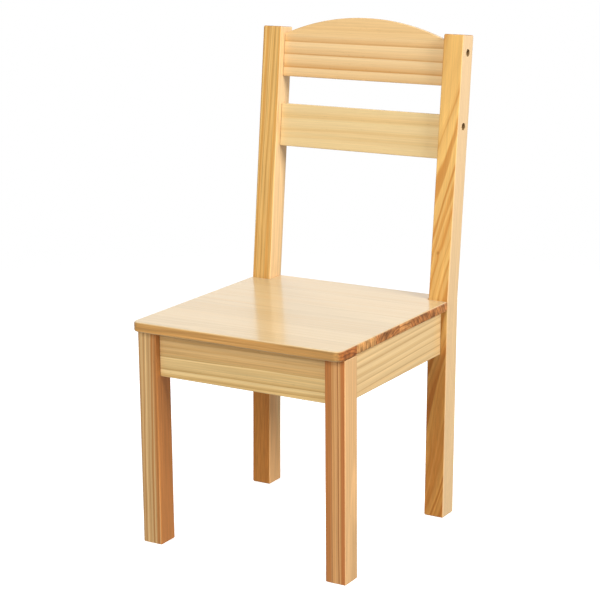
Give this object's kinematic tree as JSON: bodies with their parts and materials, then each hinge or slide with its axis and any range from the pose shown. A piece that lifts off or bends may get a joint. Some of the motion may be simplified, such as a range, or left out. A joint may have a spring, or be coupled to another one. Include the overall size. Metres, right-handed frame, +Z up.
{
  "type": "dining chair",
  "caption": "Small four-legged wooden dining chair with a flat seat board, a raked back of one arched and one straight slat, and aprons under the seat.",
  "frame": {"origin": "on the floor, under the middle of the chair's bounding box", "axes": "+X to the sitter's left, which is the viewer's right from the front; +Y to the back of the chair; +Z up"},
  "size_m": [0.283, 0.3303, 0.6134],
  "materials": {
    "seat_pine": "pale edge-glued pine under semi-gloss clear lacquer",
    "leg_pine": "golden pine under semi-gloss clear lacquer",
    "rail_pine": "honey pine under semi-gloss clear lacquer",
    "block_pine": "raw pine",
    "dowel_birch": "raw birch",
    "zinc_steel": "zinc-plated steel"
  },
  "bodies": {
    "root": {"block_screw_front_left_cross": "zinc_steel", "block_screw_front_left_side": "zinc_steel", "block_screw_front_right_cross": "zinc_steel", "block_screw_front_right_side": "zinc_steel", "block_screw_rear_left_cross": "zinc_steel", "block_screw_rear_left_side": "zinc_steel", "block_screw_rear_right_cross": "zinc_steel", "block_screw_rear_right_side": "zinc_steel", "corner_block_front_left": "block_pine", "corner_block_front_right": "block_pine", "corner_block_rear_left": "block_pine", "corner_block_rear_right": "block_pine", "front_apron": "rail_pine", "front_apron_dowel_left_lower": "dowel_birch", "front_apron_dowel_left_upper": "dowel_birch", "front_apron_dowel_right_lower": "dowel_birch", "front_apron_dowel_right_upper": "dowel_birch", "front_leg_left": "leg_pine", "front_leg_right": "leg_pine", "lower_slat": "rail_pine", "lower_slat_dowel_left": "dowel_birch", "lower_slat_dowel_right": "dowel_birch", "lower_slat_screw_left": "zinc_steel", "lower_slat_screw_right": "zinc_steel", "rear_apron": "rail_pine", "rear_apron_dowel_left_lower": "dowel_birch", "rear_apron_dowel_left_upper": "dowel_birch", "rear_apron_dowel_right_lower": "dowel_birch", "rear_apron_dowel_right_upper": "dowel_birch", "rear_post_left": "leg_pine", "rear_post_right": "leg_pine", "seat_board": "seat_pine", "seat_screw_front_left": "zinc_steel", "seat_screw_front_right": "zinc_steel", "seat_screw_rear_left": "zinc_steel", "seat_screw_rear_right": "zinc_steel", "side_apron_dowel_left_front_lower": "dowel_birch", "side_apron_dowel_left_front_upper": "dowel_birch", "side_apron_dowel_left_rear_lower": "dowel_birch", "side_apron_dowel_left_rear_upper": "dowel_birch", "side_apron_dowel_right_front_lower": "dowel_birch", "side_apron_dowel_right_front_upper": "dowel_birch", "side_apron_dowel_right_rear_lower": "dowel_birch", "side_apron_dowel_right_rear_upper": "dowel_birch", "side_apron_left": "rail_pine", "side_apron_right": "rail_pine", "top_slat": "rail_pine", "top_slat_dowel_left": "dowel_birch", "top_slat_dowel_right": "dowel_birch", "top_slat_screw_left": "zinc_steel", "top_slat_screw_right": "zinc_steel"}
  },
  "joints": []
}
